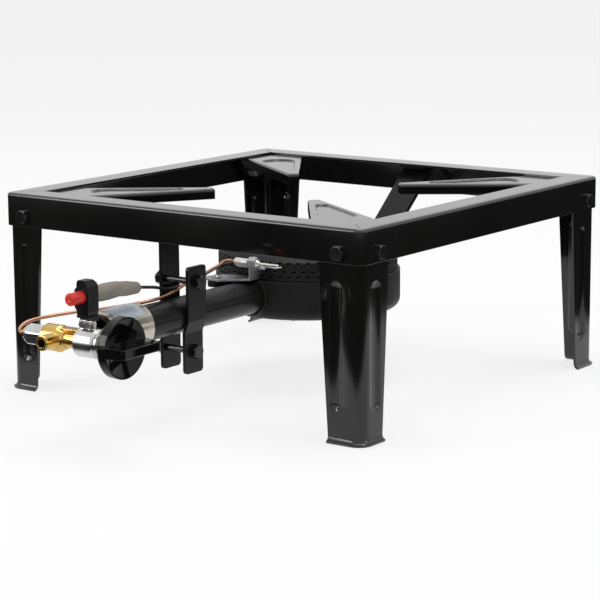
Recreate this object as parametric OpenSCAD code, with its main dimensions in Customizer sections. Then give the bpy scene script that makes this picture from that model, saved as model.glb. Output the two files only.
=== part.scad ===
// Single burner gas stove: square welded frame, four pressed legs, four pot supports,
// cast burner with mixing tube, safety gas valve, push igniter and thermocouple.
// Millimetres, +Z up. The origin is on the ground under the middle of the square frame.
// The valve side faces -Y.

/* [Frame] */
// Side of the square frame
frame_w = 400; // [380:5:440]
// Height of the frame's top above the ground
frame_h = 184; // [170:2:220]
// Height of the frame's turned down skirt
skirt_h = 30; // [26:1:36]
// Width of the frame's top flange
flange_w = 26; // [22:1:30]
// Sheet thickness of the frame
sheet_t = 2; // [1.5:0.25:2.5]
// Radius of the frame's upright corners
corner_r = 4; // [3:0.5:6]

/* [Legs] */
// Width of each leg flange at the skirt
leg_top_w = 43; // [40:1:50]
// Width of each leg flange above the foot
leg_foot_w = 33; // [31:1:40]
// Sheet thickness of the legs
leg_t = 2; // [1.5:0.25:2.5]
// Width of the pressed groove in each leg flange
groove_w = 12; // [8:1:14]
// Depth of the pressed groove
groove_depth = 1.2; // [0.6:0.2:1.6]
// Height of the groove's lower end above the ground
groove_low = 30; // [20:2:50]
// Distance that the foot flares outwards
foot_flare = 4; // [2:0.5:6]
// Height of the flared foot
foot_h = 7; // [5:0.5:10]
// Distance of the leg bolts from the frame's corner
leg_bolt_inset = 24; // [18:1:28]
// Shank diameter of the leg bolts
leg_bolt_d = 6; // [5:0.5:6]

/* [Pot supports] */
// Distance from the frame's middle to the tip of each support
support_tip = 78; // [70:2:90]
// Half width of a support where it leaves the frame
support_half_w = 34; // [28:1:38]
// Half width of a support at its tip
tip_half_w = 8.5; // [7:0.5:11]
// Sheet thickness of the supports
support_t = 2; // [1.5:0.25:2.5]
// Depth of the supports' turned down edges
support_lip = 9; // [7:0.5:12]
// Width of the pressed bead in each support
bead_w = 4; // [3:0.5:5]

/* [Burner] */
// Radius of the burner base
burner_r = 87; // [80:1:92]
// Distance from the frame's top down to the burner cap
burner_drop = 53; // [46:1:58]
// Height of the burner cap
cap_h = 26; // [22:1:30]
// Height of the burner base
base_h = 36; // [36:1:40]
// Wall of the burner castings
cast_wall = 4.5; // [4:0.25:5.5]
// Radius of the air hole through the middle of the burner
air_hole_r = 20; // [16:1:24]
// Number of flame ports in each row
port_count = 60; // [40:4:72]
// Width of each flame port
port_w = 4; // [3:0.25:4.5]
// Height of each flame port
port_h = 1.6; // [1.2:0.1:2]

/* [Mixing tube] */
// Outer radius of the mixing tube
tube_r = 15.8; // [14:0.2:16]
// Wall of the mixing tube
tube_wall = 3; // [2.5:0.25:3.5]
// Distance from the burner's rim down to the tube's axis
tube_drop = 14.5; // [14.5:0.25:17]
// Distance from the frame's front down the -Y axis to the tube's mouth
mouth_reach = 103; // [95:1:115]
// Length of the wide mouth of the tube
bell_len = 52; // [44:1:56]
// Outer radius of the air sleeve
sleeve_r = 20; // [19:0.25:21]
// Wall of the air sleeve
sleeve_wall = 1; // [0.8:0.1:1.2]
// Length of the air sleeve
sleeve_len = 50; // [42:1:54]
// Distance that the air sleeve slides forwards
sleeve_travel = 8; // [5:0.5:9]

/* [Clamp] */
// Width of the clamp straps
strap_w = 24.5; // [20:0.5:28]
// Thickness of the clamp straps
strap_t = 3; // [2.5:0.25:3.5]
// Height of the straps' lower ends above the ground
strap_low = 40; // [34:1:48]
// Height of the right strap's upper end above the tube's axis
strap_up = 45; // [40:1:50]
// Diameter of the clamp bolts
clamp_bolt_d = 6; // [5:0.5:8]
// Width of the rear support bar
rear_bar_w = 30; // [24:1:36]

/* [Gas valve] */
// Distance from the tube's mouth forwards to the valve's axis
valve_reach = 24; // [23:0.5:28]
// Outer radius of the valve body
valve_r = 11.5; // [11:0.25:12]
// Radius of the valve's bonnet
bonnet_r = 12.5; // [12:0.25:13.5]
// Outer radius of the gas inlet
inlet_r = 6.6; // [6:0.2:7]
// Bore radius of the gas inlet
inlet_bore_r = 3.9; // [3:0.1:4.2]
// Distance from the valve's axis to the mouth of the gas inlet
inlet_len = 25; // [22:0.5:30]
// Radius of the tap plug
plug_r = 4.6; // [4.2:0.1:5]
// Radius of the knob's spindle
spindle_r = 3; // [2.6:0.1:3]
// Distance that the knob pushes in
knob_travel = 3.5; // [2:0.25:3.5]
// Radius of the knob's base
knob_r = 26; // [22:0.5:28]
// Thickness of the knob's base
knob_base_t = 11; // [9:0.5:13]
// Height of the grip above the knob's base
grip_h = 18; // [14:0.5:20]
// Thickness of the grip
grip_t = 9.4; // [8:0.2:11]

/* [Igniter] */
// Radius of the igniter's button
button_r = 5.4; // [4.8:0.1:5.6]
// Length of the button outside the housing
button_out = 15; // [12:0.5:18]
// Distance that the button pushes in
button_travel = 6; // [4:0.5:7]
// Width of the igniter's housing
igniter_w = 15; // [14.5:0.5:18]
// Depth of the igniter's housing
igniter_d = 13; // [12:0.5:16]
// Height of the button's axis above the valve's axis
button_up = 38.5; // [37:0.5:42]
// Length of the silicone boot behind the housing
boot_len = 60; // [54:1:64]

/* [Sensor and electrode] */
// Radius of the copper capillary
capillary_r = 1.5; // [1.2:0.1:1.6]
// Radius of the igniter's lead
lead_r = 1.4; // [1.2:0.1:1.6]
// Radius of the thermocouple's head
sensor_r = 3.5; // [3:0.1:3.8]
// Radius of the electrode's ceramic
ceramic_r = 2.5; // [2:0.1:2.7]

/* [Hidden] */
$fn = 48;

// Clearances: a static seat, a running fit and the smallest gap that keeps two solids apart
seat = 0.1;
run = 0.05;
eps = 0.01;
// Length of a cut that goes right through
through = 60;

// Frame
half = frame_w / 2;
flange_z = frame_h - sheet_t;
skirt_z = frame_h - skirt_h;
flange_in = half - flange_w;

// Legs
leg_top_z = flange_z - support_t - 1;
leg_out = half - sheet_t;
leg_straight_z = foot_h;
groove_high = skirt_z - 16;
groove_from_corner = leg_foot_w / 2 + 1;
leg_bolt_z = skirt_z + 9;
bolt_head_h = 4.5;
bolt_af = leg_bolt_d * 1.9;
nut_h = 5;

// Burner
cap_z = frame_h - burner_drop;
rim_z = cap_z - cap_h;
base_z = rim_z - base_h;
axis_z = rim_z - tube_drop;
cap_r = burner_r - 2.5;
port_rows = [4.5, 9.5, 17];
boss_out = 4;
screw_len = cast_wall + 12.5;

// Mixing tube and sleeve
mouth_y = -(half + mouth_reach);
bell_y = mouth_y + bell_len;
bell_r = sleeve_r - sleeve_wall - run;
bell_wall = 2.5;
tube_in_y = -(cap_r + 0.5);
// Room left between the valve and the sleeve at the front of its travel
sleeve_front_gap = 7.5;
sleeve_y = mouth_y - valve_reach + valve_r + sleeve_front_gap + sleeve_travel;
label_t = 0.25;
label_half_angle = 52;
label_margin = 7;

// Clamp
strap_gap = tube_r + 0.4;
right_strap_y = -(half - 9);
left_strap_y = right_strap_y + 7;
clamp_y = right_strap_y + 1;
clamp_up_z = axis_z + 30.5;
clamp_low_z = strap_low + 19;
strap_shift = 4.4;
clamp_head_h = 5;
clamp_af = clamp_bolt_d * 1.9;

// Rear support bar
bar_t = 3;
lug_y = burner_r + 11;
bar_foot_z = rim_z - 1;
bar_bolt_r = 3;

// Valve, along X at x = 0 over the injector
valve_y = mouth_y - valve_reach;
valve_left = -33;
chamber_end = -13;
neck_r = 7;
neck_left = -11;
neck_right = 1;
bonnet_x = 6;
bonnet_len = 20;
bonnet_wall = 3;
inlet_x = -17.5;
plug_left = -9;
plug_head_x = 11;
outlet_r = 2;
// Seat of the jet, which stays clear of the bonnet
jet_seat_r = bonnet_x - 0.5;
knob_x = 42.5;
spindle_collar_x = bonnet_x + bonnet_len - bonnet_wall - 1.6;
spring_start = plug_head_x + seat;
spring_end = spindle_collar_x - seat;
nut_left = -53;
nut_right = valve_left - seat;
magnet_r = 6.4;
nut_af = 17.5;
capillary_start = nut_left - 3;
ear_t = 3.5;
ear_h = 6.5;

// Igniter
button_x = 9.5;
button_z = axis_z + button_up;
igniter_y = valve_y - 4;
igniter_back = igniter_y + igniter_d;
igniter_low = axis_z + bonnet_r + 10;
button_in = 2;
bore_r = button_r + run;
button_rear = igniter_y + button_in;
cup_depth = 7;
piezo_y = button_rear + button_travel + 1;
piezo_len = 32;
boot_r = 7.3;
boot_straight = 34;
boot_end_r = 5.1;
boot_droop = 6;
bracket_t = 1.8;

// Sensor and electrode, beside the burner's front left
plate_z = rim_z + 3;
plate_t = 1.5;
tab_x = 8.5;
tab_t = 1.5;
sensor_y = -(burner_r + 11);
sensor_z = rim_z + 18.5;
sensor_left = -10;
electrode_y = -(burner_r + 3);
electrode_z = rim_z + 14.5;
ceramic_left = -14;
ceramic_right = 16;
ear_pos = [-22, -(burner_r + 25)];
ear_r = 8;

// Routes, as points from the burner's middle in plan and from the tube's axis in height,
// drawn for these sizes
drawn_valve_y = -327;
drawn_burner_r = 87;
drawn_tube_drop = 14.5;
capillary_route = [[-56, -327, 0], [-59, -327, 0], [-62, -327, 0], [-66, -325.4, 1.1],
    [-68.3, -320.5, 3.8], [-67, -313, 6.6], [-62, -300, 8.4], [-50, -272, 9.8], [-36, -252, 11], [-22, -241.5, 13.4], [-10, -235, 16],
    [-3, -224, 17.8], [-1, -210, 19.2], [-2, -194, 22], [-4, -178, 25], [-8, -156, 27.2],
    [-11, -136, 29.4], [-14, -118, 31.6], [-18.5, -106, 32.8], [-18, -99.5, 33],
    [-14.5, -98, 33], [-10, -98, 33]];
lead_route = [[9.5, -264, 36], [9.5, -256, 35.2], [7, -243, 33], [1, -226, 29.6], [-5, -210, 25.6],
    [-9, -196, 22.6], [-10.5, -182, 22], [-13, -164, 22.4], [-17, -144, 23.4], [-21, -124, 25.8],
    [-23, -106, 28.2], [-22, -95, 29], [-18.6, -90.2, 29], [-14.2, -90, 29]];

// Unit vector
function unit(v) = v / norm(v);

// Points of one rounded corner at b, between a and c
function corner(a, b, c, r, n) =
    r <= 0 ? [b] :
    let (u = unit(a - b), v = unit(c - b), h = acos(u * v) / 2)
    let (m = b + unit(u + v) * r / sin(h), s = b + u * r / tan(h) - m, e = b + v * r / tan(h) - m)
    let (a0 = atan2(s[1], s[0]), d = atan2(e[1], e[0]) - a0)
    let (sweep = d > 180 ? d - 360 : d < -180 ? d + 360 : d)
    [for (i = [0:n]) m + r * [cos(a0 + sweep * i / n), sin(a0 + sweep * i / n)]];

// Outline with each corner rounded by its own radius
function rounded(pts, radii, n = 6) =
    let (k = len(pts))
    [for (i = [0:k - 1]) each corner(pts[(i + k - 1) % k], pts[i], pts[(i + 1) % k],
        is_list(radii) ? radii[i] : radii, n)];

// Point between b and c on a smooth curve through a, b, c and d
function blend(a, b, c, d, t) =
    0.5 * (2 * b + (c - a) * t + (2 * a - 5 * b + 4 * c - d) * t * t
        + (3 * b - a - 3 * c + d) * t * t * t);

// Smooth path through the route's points
function smooth_path(p, steps) =
    let (k = len(p) - 1)
    [for (i = [0:k - 1], j = [0:steps - 1])
        blend(p[max(i - 1, 0)], p[i], p[i + 1], p[min(i + 2, k)], j / steps), p[k]];

// Route moved from the drawing's own sizes to this valve, burner and tube
function placed(p) =
    [for (q = p)
        let (near = min(max((q[1] + 200) / 80, 0), 1))
        [q[0], q[1] < -200 ? q[1] + valve_y - drawn_valve_y : q[1] - near * (burner_r - drawn_burner_r),
            q[2] + axis_z + near * (tube_drop - drawn_tube_drop)]];

// One tube swept along a path
module swept(path, r, sides, up = [0, 0, 1]) {
    k = len(path);
    tangents = [for (i = [0:k - 1]) unit(path[min(i + 1, k - 1)] - path[max(i - 1, 0)])];
    rings = [for (i = [0:k - 1])
        let (t = tangents[i], n = unit(cross(up, t)), b = cross(t, n))
        for (j = [0:sides - 1])
            path[i] + r * (n * cos(360 * j / sides) + b * sin(360 * j / sides))];
    walls = [for (i = [0:k - 2], j = [0:sides - 1])
        let (a = i * sides + j, b = i * sides + (j + 1) % sides)
        each [[a, a + sides, b + sides], [a, b + sides, b]]];
    start_cap = [[for (j = [0:sides - 1]) j]];
    end_cap = [[for (j = [0:sides - 1]) k * sides - 1 - j]];
    polyhedron(points = rings, faces = concat(walls, start_cap, end_cap), convexity = 8);
}

// Coil spring along +X, from x = 0 to its length
module coil(length, r, wire_r, turns) {
    steps = turns * 10;
    path = [for (i = [0:steps])
        [wire_r + (length - 2 * wire_r) * i / steps, r * cos(360 * turns * i / steps),
            r * sin(360 * turns * i / steps)]];
    swept(path, wire_r, 6, [1, 0, 0]);
}

// Cylinder along +X
module rod_x(r, l) {
    rotate([0, 90, 0]) cylinder(r = r, h = l);
}

// Cylinder along +Y
module rod_y(r, l) {
    rotate([-90, 0, 0]) cylinder(r = r, h = l);
}

// Hexagon along +Z with its width across the flats
module hex(af, h) {
    cylinder(r = af / sqrt(3), h = h, $fn = 6);
}

// Hex bolt with its head above z = 0 and its shank below
module hex_bolt(af, head_h, d, shank) {
    intersection() {
        hex(af, head_h);
        cylinder(r1 = af * 0.75, r2 = af * 0.5, h = head_h);
    }
    translate([0, 0, -shank]) cylinder(d = d, h = shank + eps);
}

// Hex nut standing on z = 0
module hex_nut(af, h, d) {
    difference() {
        hex(af, h);
        translate([0, 0, -1]) cylinder(d = d + 2 * seat, h = h + 2);
    }
}

// Frame

// Front rail of the square: top flange with mitred ends and a turned down skirt
module rail() {
    s = half;
    f = flange_in;
    g = half - sheet_t;
    intersection() {
        union() {
            translate([0, 0, flange_z]) linear_extrude(sheet_t)
                polygon([[-s, -s], [s, -s], [f, -f], [-f, -f]]);
            translate([0, 0, skirt_z]) linear_extrude(skirt_h)
                polygon([[-s, -s], [s, -s], [g, -g], [-g, -g]]);
        }
        translate([0, 0, skirt_z - 1]) linear_extrude(skirt_h + 2)
            polygon(rounded([[-s, -s], [s, -s], [s, s], [-s, s]], corner_r));
    }
}

// Holes through a rail's skirt for the leg bolts
module rail_with_holes() {
    difference() {
        rail();
        for (side = [-1, 1])
            translate([side * (half - leg_bolt_inset), -half - 1, leg_bolt_z])
                rod_y(leg_bolt_d / 2 + seat, sheet_t + 2);
    }
}

module front_rail() {
    color("#1a1a1c") rail_with_holes();
}

module right_rail() {
    color("#1a1a1c") rotate([0, 0, 90]) rail_with_holes();
}

module rear_rail() {
    color("#1a1a1c") rotate([0, 0, 180]) rail_with_holes();
}

module left_rail() {
    color("#1a1a1c") rotate([0, 0, 270]) rail_with_holes();
}

// One flange of a leg in the XZ plane, its outer face on y = 0 and the corner at x = 0
module leg_flange() {
    w0 = leg_foot_w;
    w1 = leg_top_w;
    g = groove_from_corner;
    rotate([90, 0, 0]) mirror([0, 0, 1]) linear_extrude(leg_t)
        polygon([[0, leg_straight_z], [w0, leg_straight_z], [w1, skirt_z], [w1, leg_top_z],
            [0, leg_top_z]]);
    // Inner swelling of the pressed groove
    for (z = [groove_low, groove_high])
        translate([g, leg_t - eps, z]) rod_y(groove_w / 2 + 1, groove_depth);
    translate([g - groove_w / 2 - 1, leg_t - eps, groove_low])
        cube([groove_w + 2, groove_depth, groove_high - groove_low]);
}

// Pressed groove as a tool that cuts into the outer face
module groove_cut() {
    g = groove_from_corner;
    for (z = [groove_low, groove_high])
        translate([g, -1, z]) rod_y(groove_w / 2, groove_depth + 1);
    translate([g - groove_w / 2, -1, groove_low])
        cube([groove_w, groove_depth + 1, groove_high - groove_low]);
}

// Flared foot of one leg flange, mitred at the corner
module foot() {
    f = foot_flare;
    lip = 1.6;
    w = leg_foot_w;
    intersection() {
        translate([w, 0, 0]) rotate([0, -90, 0]) linear_extrude(w + f)
            polygon([[0, -f], [lip, -f], [leg_straight_z, 0], [leg_straight_z, leg_t],
                [lip + 1.2, leg_t], [0, leg_t - f + 1.2]]);
        linear_extrude(leg_straight_z + 1)
            polygon(rounded([[-f, -f], [w, -f], [w, leg_t + 1], [leg_t + 1, leg_t + 1]],
                [2, 3, 0, 0]));
    }
}

// Leg at the front left corner
module leg() {
    translate([-leg_out, -leg_out, 0]) {
        difference() {
            intersection() {
                union() {
                    leg_flange();
                    mirror([1, -1, 0]) leg_flange();
                }
                linear_extrude(frame_h)
                    polygon(rounded([[0, 0], [leg_top_w, 0], [leg_top_w, leg_top_w],
                        [0, leg_top_w]], [corner_r - sheet_t + 0.5, 0, 0, 0]));
            }
            groove_cut();
            mirror([1, -1, 0]) groove_cut();
            leg_bolt_hole();
            mirror([1, -1, 0]) leg_bolt_hole();
        }
        foot();
        mirror([1, -1, 0]) foot();
    }
}

// Bolt hole in one leg flange
module leg_bolt_hole() {
    translate([leg_bolt_inset - sheet_t, -1, leg_bolt_z]) rod_y(leg_bolt_d / 2 + seat, leg_t + 2);
}

module leg_front_left() {
    color("#1a1a1c") leg();
}

module leg_front_right() {
    color("#1a1a1c") rotate([0, 0, 90]) leg();
}

module leg_rear_right() {
    color("#1a1a1c") rotate([0, 0, 180]) leg();
}

module leg_rear_left() {
    color("#1a1a1c") rotate([0, 0, 270]) leg();
}

// Places its children at both bolts of all four legs, with +Z pointing out of the skirt
module at_leg_bolts(depth) {
    for (turn = [0:90:270], side = [-1, 1])
        rotate([0, 0, turn])
            translate([side * (half - leg_bolt_inset), -half + depth, leg_bolt_z])
                rotate([90, 0, 0]) children();
}

module leg_bolts() {
    shank = sheet_t + leg_t + nut_h + 2;
    color("#222224") at_leg_bolts(0) hex_bolt(bolt_af, bolt_head_h, leg_bolt_d, shank);
}

module leg_nuts() {
    color("#8c8c8c") at_leg_bolts(sheet_t + leg_t + nut_h + seat / 2)
        hex_nut(bolt_af, nut_h, leg_bolt_d);
}

// Pot supports

support_root = 12;
support_len = half * sqrt(2) - support_tip;
// Height by which the pad inside the frame's opening is pressed up, and its gap to the flange
pad_lift = 0.5;
pad_gap = 1;

// Outline of a support along +X: from the frame's corner at x = 0 to the tip
function support_outline(inset) =
    let (s = support_root, w = support_half_w, e = support_len, t = tip_half_w)
    let (taper = (w - t) / (e - s - w))
    let (k = inset, c = inset * 1.4)
    [[s + c, 0], [s + w + k * 0.4, w - k * 1.05], [e - k, t - k + k * taper],
        [e - k, -(t - k + k * taper)], [s + w + k * 0.4, -(w - k * 1.05)]];

// Groove loop and its raised middle, as a thin slab
module support_bead() {
    from = flange_w * sqrt(2) + 22;
    e = support_len - 16;
    w0 = support_half_w - 15;
    w1 = max(tip_half_w - 4.5, 2.5);
    b = bead_w;
    difference() {
        linear_extrude(1 + support_t / 2)
            polygon(rounded([[from - w0, 0], [from, w0], [e, w1], [e, -w1], [from, -w0]],
                [w0 / 2, w0 / 3, w1 * 0.8, w1 * 0.8, w0 / 3]));
        translate([0, 0, -1]) linear_extrude(4 + support_t)
            polygon(rounded([[from - w0 + b * 1.4, 0], [from + b * 0.4, w0 - b],
                [e - b * 8, max(w1 - b * 0.4, 1)], [e - b * 8, -max(w1 - b * 0.4, 1)],
                [from + b * 0.4, -(w0 - b)]], [w0 / 2.6, w0 / 4, 0.6, 0.6, w0 / 4]));
    }
}

// Support at the front left corner
module pot_support() {
    top = flange_z - seat / 2;
    lip_from = support_root + support_half_w + 8;
    e = support_len;
    outline = rounded(support_outline(0), [6, 8, 4, 4, 8]);
    inner = rounded(support_outline(support_t), [5, 7, 2.2, 2.2, 7]);
    pad_from = (flange_w + pad_gap) * sqrt(2);
    translate([-half, -half, 0]) rotate([0, 0, 45]) {
        difference() {
            union() {
                translate([0, 0, top - support_t]) linear_extrude(support_t) polygon(outline);
                intersection() {
                    translate([0, 0, top - support_t]) linear_extrude(support_t + pad_lift)
                        polygon(outline);
                    translate([pad_from, 0, 0]) rotate([0, 0, -45]) cube([e, e, frame_h]);
                }
            }
            translate([0, 0, top - support_t / 2]) support_bead();
        }
        difference() {
            intersection() {
                translate([0, 0, top - support_lip])
                    linear_extrude(support_lip - support_t / 2) polygon(outline);
                translate([lip_from, -support_half_w, 0])
                    cube([e, 2 * support_half_w, frame_h]);
            }
            translate([0, 0, top - support_lip - 1])
                linear_extrude(support_lip + 1 - support_t) polygon(inner);
            // Notch in the middle of the tip's bent edge
            translate([e - 6, -2, top - support_lip - 1]) cube([12, 4, 4.5]);
        }
    }
}

module pot_support_front_left() {
    color("#202022") pot_support();
}

module pot_support_front_right() {
    color("#202022") rotate([0, 0, 90]) pot_support();
}

module pot_support_rear_right() {
    color("#202022") rotate([0, 0, 180]) pot_support();
}

module pot_support_rear_left() {
    color("#202022") rotate([0, 0, 270]) pot_support();
}

// Burner

// Casting of the base: a ring shaped trough with a rounded foot
module burner_base() {
    r = burner_r;
    w = cast_wall;
    round_r = 8;
    profile = rounded([[air_hole_r, base_z + 6], [air_hole_r + 6, base_z], [r, base_z], [r, rim_z],
        [r - w, rim_z], [r - w, base_z + w], [air_hole_r + w, base_z + w],
        [air_hole_r + w, rim_z], [air_hole_r, rim_z]], [2, 2, round_r, 1, 0, 3, 3, 0, 0]);
    color("#2a2a2c") difference() {
        union() {
            rotate_extrude($fn = 96) polygon(profile);
            inlet_boss();
            rear_lug();
            bracket_ear();
        }
        // Seat of the mixing tube, and its way into the base
        translate([0, tube_in_y + seat - through, axis_z]) rod_y(tube_r + seat, through);
        translate([0, tube_in_y, axis_z]) rod_y(tube_r - tube_wall, cast_wall + 4);
        translate([0, lug_y, rim_z - through / 2]) cylinder(r = bar_bolt_r + seat, h = through);
        translate([ear_pos[0], ear_pos[1], rim_z - through / 2]) cylinder(r = 1.6, h = through);
        at_burner_screws() translate([0, 0, base_z - 1]) cylinder(r = 2.1, h = w + 2);
    }
}

// Boss round the mixing tube where it enters the base
module inlet_boss() {
    boss_r = min(tube_r + 3, rim_z - axis_z - 0.5 + 4);
    intersection() {
        difference() {
            translate([0, -burner_r - boss_out, axis_z]) rod_y(boss_r, boss_out + 8);
            cylinder(r = burner_r - 2, h = frame_h);
        }
        translate([-burner_r, -2 * burner_r, base_z + 1])
            cube([2 * burner_r, 2 * burner_r, rim_z - base_z - 1.5]);
    }
}

// Lug under the foot of the rear support bar
module rear_lug() {
    translate([0, 0, bar_foot_z - 8]) linear_extrude(8)
        polygon(rounded([[-12, burner_r - 3], [12, burner_r - 3], [10, lug_y + 9],
            [-10, lug_y + 9]], [0, 0, 7, 7]));
}

// Ear under the electrode bracket
module bracket_ear() {
    p = ear_pos;
    low = axis_z + 11;
    translate([p[0], p[1], low]) cylinder(r = ear_r, h = plate_z - low - seat / 2);
    translate([0, 0, low]) linear_extrude(rim_z - low)
        polygon([[p[0] - 6, p[1]], [p[0] + 6, p[1]], [p[0] + 8, -burner_r + 4],
            [p[0] - 6, -burner_r + 6]]);
}

// Places its children at the three screws that hold the cap
module at_burner_screws() {
    for (turn = [30:120:270]) rotate([0, 0, turn]) translate([burner_r * 0.64, 0, 0]) children();
}

// Cap with three rows of flame ports in its side and one in its middle
module burner_cap() {
    r = cap_r;
    w = cast_wall;
    ri = air_hole_r;
    low = rim_z + seat / 2;
    profile = rounded([[r, low], [r, cap_z - 9], [r - 6, cap_z - 3], [ri + 18, cap_z],
        [ri + 4, cap_z - 4], [ri, cap_z - 10], [ri, low], [ri + w, low], [ri + w, cap_z - 13],
        [ri + 18, cap_z - w], [r - 8, cap_z - 3 - w], [r - w, cap_z - 12], [r - w, low]],
        [0, 3, 4, 8, 5, 2, 0, 0, 3, 5, 2, 2, 0]);
    color("#2a2a2c") {
        difference() {
            rotate_extrude($fn = 96) polygon(profile);
            for (row = [0:len(port_rows) - 1], i = [0:port_count - 1])
                rotate([0, 0, (i + row / 2) * 360 / port_count])
                    translate([r - w - 1, -port_w / 2, low + port_rows[row] - port_h / 2])
                        cube([w + 3, port_w, port_h]);
            for (i = [0:23])
                rotate([0, 0, i * 15]) translate([ri - 1, -1.2, low + 5]) cube([w + 3, 2.4, 2]);
        }
        // Posts that take the screws
        at_burner_screws() difference() {
            translate([0, 0, base_z + w + seat]) cylinder(r = 5, h = cap_z - w - base_z - w + 1);
            translate([0, 0, base_z]) cylinder(r = 2.1, h = screw_len + 2);
        }
    }
}

module burner_screws() {
    color("#8c8c8c") at_burner_screws() {
        translate([0, 0, base_z - 2.6]) cylinder(r = 4, h = 2.6 - seat / 2);
        translate([0, 0, base_z - 1]) cylinder(r = 2, h = screw_len + 1);
    }
}

// Mixing tube

// Tube with a wider mouth, which carries the injector on a cross bar
module mixing_tube() {
    inner = tube_r - tube_wall;
    bell_inner = bell_r - bell_wall;
    color("#202022") {
        difference() {
            union() {
                translate([0, bell_y - 6, axis_z])
                    rod_y(tube_r, tube_in_y - bell_y + 6);
                translate([0, mouth_y, axis_z]) rod_y(bell_r, bell_len);
            }
            translate([0, mouth_y + 10, axis_z]) rod_y(inner, tube_in_y - mouth_y);
            translate([0, mouth_y - 1, axis_z]) rod_y(bell_inner, bell_len - 3);
            translate([0, mouth_y + bell_len - 5, axis_z]) rotate([-90, 0, 0])
                cylinder(r1 = bell_inner, r2 = inner, h = 5);
        }
        difference() {
            union() {
                translate([-bell_inner - 0.5, mouth_y, axis_z - 4.5])
                    cube([2 * bell_inner + 1, 6, 9]);
                translate([0, mouth_y, axis_z]) rod_y(8, 9);
            }
            translate([0, mouth_y - 1, axis_z]) rod_y(5 + seat, 12);
        }
    }
}

module air_sleeve() {
    color("#c9c4b8") difference() {
        translate([0, sleeve_y, axis_z]) rod_y(sleeve_r, sleeve_len);
        translate([0, sleeve_y - 1, axis_z]) rod_y(sleeve_r - sleeve_wall, sleeve_len + 2);
        translate([0, sleeve_screw_y, axis_z - sleeve_r - 1]) cylinder(r = 1.6, h = 5);
    }
}

sleeve_screw_y = sleeve_y + sleeve_len - 5;

module sleeve_screw() {
    color("#3a3a3a") translate([0, sleeve_screw_y, axis_z - sleeve_r]) {
        translate([0, 0, -4 - seat / 2]) cylinder(r = 3.2, h = 4);
        translate([0, 0, -1]) cylinder(r = 1.5, h = 1 + sleeve_wall - run);
    }
}

// Blank label, rolled over the top of the sleeve
module rating_label() {
    inner = sleeve_r + 0.02;
    outer = sleeve_r + label_t;
    a = label_half_angle;
    color("#bcc6cf") translate([0, sleeve_y + label_margin, axis_z])
        rotate([90, -90, 180]) rotate([0, 0, -a])
            rotate_extrude(angle = 2 * a, $fn = 96)
                translate([inner, 0]) square([outer - inner, sleeve_len - 2 * label_margin]);
}

// Brass jet between the valve and the tube's mouth
module injector() {
    from = valve_y + valve_r + seat;
    color("#c79a3e") difference() {
        union() {
            translate([0, from, axis_z]) rotate([-90, 30, 0])
                hex(2 * jet_seat_r, mouth_y - from - seat);
            translate([0, mouth_y - 1, axis_z]) rod_y(5, 12);
            translate([0, mouth_y + 11 - eps, axis_z]) rotate([-90, 0, 0])
                cylinder(r1 = 5, r2 = 2.2, h = 5);
        }
        translate([0, from - 1, axis_z]) rod_y(2, mouth_y - from + 8);
        translate([0, mouth_y, axis_z]) rod_y(0.7, 20);
    }
}

// Clamp and supports

// Places a flat outline in the XZ plane, extruded along Y about its own middle
module strap_plate(y, w) {
    translate([0, y + w / 2, 0]) rotate([90, 0, 0]) linear_extrude(w) children();
}

// Rounds the corners of a strap's lower end, as seen from the side
module strap_corners(y, w, low, high, r) {
    rotate([0, 90, 0]) rotate([0, 0, 90]) translate([y - w / 2, 0, -through])
        linear_extrude(2 * through)
        polygon(rounded([[0, low], [w, low], [w, high], [0, high]], r));
}

// Left strap: hangs from the front rail and takes the nuts
module clamp_strap_left() {
    g = strap_gap;
    t = strap_t;
    top = flange_z - seat / 2;
    color("#202022") difference() {
        intersection() {
            strap_plate(left_strap_y, strap_w) polygon([[-g, strap_low], [-g, top],
                [-g - 26, top], [-g - 26, top - t], [-g - t, top - t], [-g - t, strap_low]]);
            strap_corners(left_strap_y, strap_w, strap_low, top, [3.5, 3.5, 0, 0]);
        }
        for (z = [clamp_up_z, clamp_low_z])
            translate([-g - t - 1, clamp_y, z]) rod_x(clamp_bolt_d / 2 + seat, t + 2);
    }
}

// Right strap: stepped inwards below the tube
module clamp_strap_right() {
    g = strap_gap;
    t = strap_t;
    s = strap_shift;
    a = axis_z - 2.5;
    b = axis_z - 13.5;
    top = axis_z + strap_up;
    color("#202022") difference() {
        intersection() {
            strap_plate(right_strap_y, strap_w) polygon([[g, top], [g, a], [g - s, b],
                [g - s, strap_low], [g - s + t, strap_low], [g - s + t, b - 0.6],
                [g + t, a - 0.6], [g + t, top]]);
            strap_corners(right_strap_y, strap_w, strap_low, top, [3.5, 3.5, 3, 3]);
        }
        for (z = [clamp_up_z, clamp_low_z])
            translate([0, clamp_y, z]) rod_x(clamp_bolt_d / 2 + seat, g + t + 2);
    }
}

// Hex bolt along X with its head at the +X end
module bolt_x(z, head_x, shank) {
    translate([head_x + seat / 2, clamp_y, z]) rotate([0, 90, 0])
        hex_bolt(clamp_af, clamp_head_h, clamp_bolt_d, shank);
}

module clamp_bolts() {
    end = strap_gap + strap_t + nut_h + 3;
    head_up = strap_gap + strap_t;
    head_low = head_up - strap_shift;
    color("#222224") {
        bolt_x(clamp_up_z, head_up, head_up + end);
        bolt_x(clamp_low_z, head_low, head_low + end);
    }
}

module clamp_nuts() {
    color("#222224") for (z = [clamp_up_z, clamp_low_z])
        translate([-strap_gap - strap_t - seat / 2, clamp_y, z]) rotate([0, -90, 0])
            hex_nut(clamp_af, nut_h, clamp_bolt_d);
}

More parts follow.
